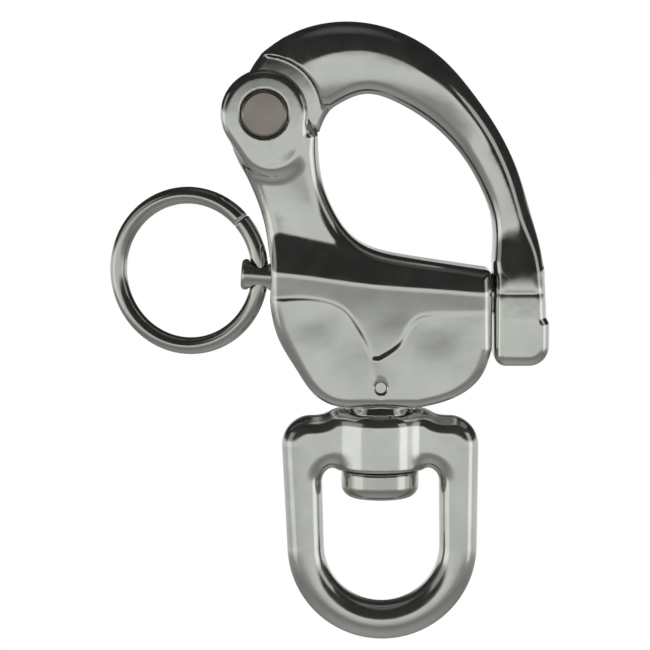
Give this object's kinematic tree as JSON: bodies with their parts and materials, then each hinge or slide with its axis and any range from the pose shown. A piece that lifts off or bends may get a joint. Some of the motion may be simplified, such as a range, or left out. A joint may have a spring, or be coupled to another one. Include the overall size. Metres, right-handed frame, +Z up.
{
  "type": "swivel snap shackle",
  "caption": "Cast steel snap shackle: a hinged hook gate locked by a ring-pulled sprung plunger, with a swivel eye below.",
  "frame": {"origin": "on the swivel axis, half way up the jaw opening, in the castings' mid plane", "axes": "+Z up along the swivel axis, away from the eye; +X from the pull ring towards the gate's lug; +Y across the castings, along the hinge"},
  "size_m": [0.0622, 0.0141, 0.0872],
  "materials": {
    "polished_steel": "mirror polished stainless casting with faint tumbling marks",
    "turned_steel": "turned stainless, satin",
    "spring_wire": "drawn wire, satin",
    "ring_wire": "bright drawn wire"
  },
  "bodies": {
    "body": {"shackle_body": "polished_steel", "hinge_rivet": "turned_steel", "swivel_stud": "turned_steel", "stud_lock_pin": "turned_steel"},
    "gate_arm": {"gate": "polished_steel"},
    "plunger_turn": {"plunger_spring": "spring_wire"},
    "plunger_pin": {"plunger": "turned_steel"},
    "ring": {"pull_ring": "ring_wire"},
    "eye": {"swivel_eye": "polished_steel"}
  },
  "joints": [
    {"name": "gate_pivot", "type": "hinge", "parent": "body", "child": "gate_arm", "pos_m": [-0.01618, 0, 0.0083], "axis": [0, -1, 0], "range_deg": [0, 105]},
    {"name": "plunger_spin", "type": "hinge", "parent": "body", "child": "plunger_turn", "pos_m": [0, 0, -0.01577], "axis": [0.9972, 0, -0.075], "continuous": true},
    {"name": "plunger_pull", "type": "slide", "parent": "plunger_turn", "child": "plunger_pin", "axis": [-0.9972, 0, 0.075], "range_m": [0, 0.0042], "stiffness_N_per_m": 1000, "springref_m": -0.003, "deforming": ["plunger_spring"]},
    {"name": "ring_swing", "type": "hinge", "parent": "plunger_pin", "child": "ring", "pos_m": [-0.0169, 0, -0.0145], "axis": [0.075, 0, 0.9972], "range_deg": [-30, 60]},
    {"name": "eye_swivel", "type": "hinge", "parent": "body", "child": "eye", "pos_m": [0, 0, -0.038], "axis": [0, 0, 1], "continuous": true}
  ]
}
